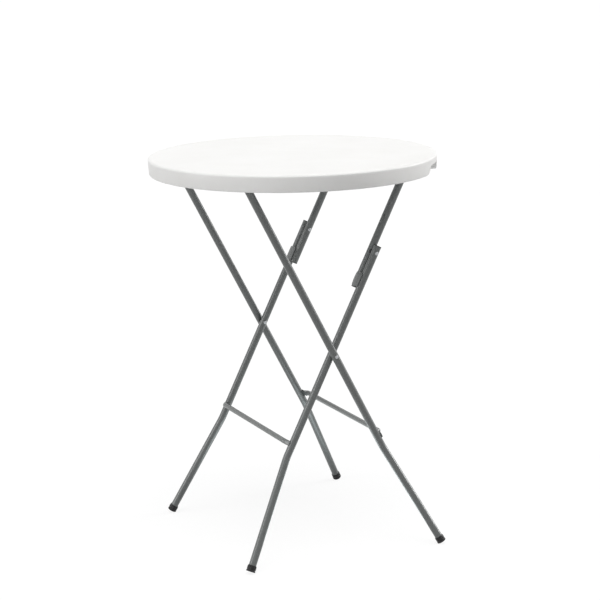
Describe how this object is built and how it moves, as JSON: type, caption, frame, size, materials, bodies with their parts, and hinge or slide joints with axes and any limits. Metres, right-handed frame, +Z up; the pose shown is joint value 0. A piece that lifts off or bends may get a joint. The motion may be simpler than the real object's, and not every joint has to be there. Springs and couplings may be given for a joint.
{
  "type": "folding bar table",
  "caption": "Round standing-height folding table: deep-rimmed moulded plastic top on crossed steel tube legs that break at a knuckle and fold flat under it.",
  "frame": {"origin": "on the floor under the centre of the round top", "axes": "+Z up; the legs fold about axes along Y, and the folded legs leave the rim on the +X side"},
  "size_m": [0.812, 0.812, 1.1],
  "materials": {
    "white_plastic": "finely textured white moulding",
    "grey_frame": "satin grey powder coat",
    "grey_bar": "satin grey powder coat",
    "black_plastic": "matt black moulding",
    "zinc_steel": "bright zinc"
  },
  "bodies": {
    "top": {"table_top": "white_plastic", "outer_strap_near": "zinc_steel", "outer_strap_far": "zinc_steel", "link_strap_near": "zinc_steel", "link_strap_far": "zinc_steel", "outer_screw_near_a": "zinc_steel", "outer_screw_near_b": "zinc_steel", "outer_screw_far_a": "zinc_steel", "outer_screw_far_b": "zinc_steel", "link_screw_near_a": "zinc_steel", "link_screw_near_b": "zinc_steel", "link_screw_far_a": "zinc_steel", "link_screw_far_b": "zinc_steel"},
    "outer_frame": {"outer_hinge_tube": "grey_frame", "outer_leg_near": "grey_frame", "outer_leg_far": "grey_frame", "outer_crossbar": "grey_bar", "outer_foot_cap_near": "black_plastic", "outer_foot_cap_far": "black_plastic", "crossing_rivet_near": "zinc_steel", "crossing_rivet_far": "zinc_steel", "crossing_spacer_near": "black_plastic", "crossing_spacer_far": "black_plastic"},
    "inner_frame": {"inner_leg_near": "grey_frame", "inner_leg_far": "grey_frame", "inner_crossbar": "grey_bar", "inner_foot_cap_near": "black_plastic", "inner_foot_cap_far": "black_plastic", "inner_leg_plug_near": "black_plastic", "inner_leg_plug_far": "black_plastic", "knuckle_rivet_leg_half_near": "zinc_steel", "knuckle_rivet_leg_half_far": "zinc_steel"},
    "link_frame": {"link_hinge_tube": "grey_frame", "link_arm_near": "grey_frame", "link_arm_far": "grey_frame", "link_plug_near": "black_plastic", "link_plug_far": "black_plastic", "stop_plate_near": "grey_frame", "stop_plate_far": "grey_frame", "knuckle_spacer_near": "black_plastic", "knuckle_spacer_far": "black_plastic", "knuckle_rivet_arm_half_near": "zinc_steel", "knuckle_rivet_arm_half_far": "zinc_steel"}
  },
  "joints": [
    {"name": "fold", "type": "hinge", "parent": "top", "child": "outer_frame", "pos_m": [-0.257, 0, 1.068], "axis": [0, -1, 0], "range_deg": [0, 62.79]},
    {"name": "crossing_pivot", "type": "hinge", "parent": "outer_frame", "child": "inner_frame", "pos_m": [0, 0, 0.56804], "axis": [0, -1, 0], "range_deg": [0, 54.41]},
    {"name": "link_pivot", "type": "hinge", "parent": "top", "child": "link_frame", "pos_m": [0.257, 0, 1.068], "axis": [0, 1, 0], "range_deg": [0, 62.79]}
  ],
  "couplings": [
    {"joint": "crossing_pivot", "follows": "fold", "ratio": 0.86648},
    {"joint": "link_pivot", "follows": "fold", "ratio": 1}
  ]
}
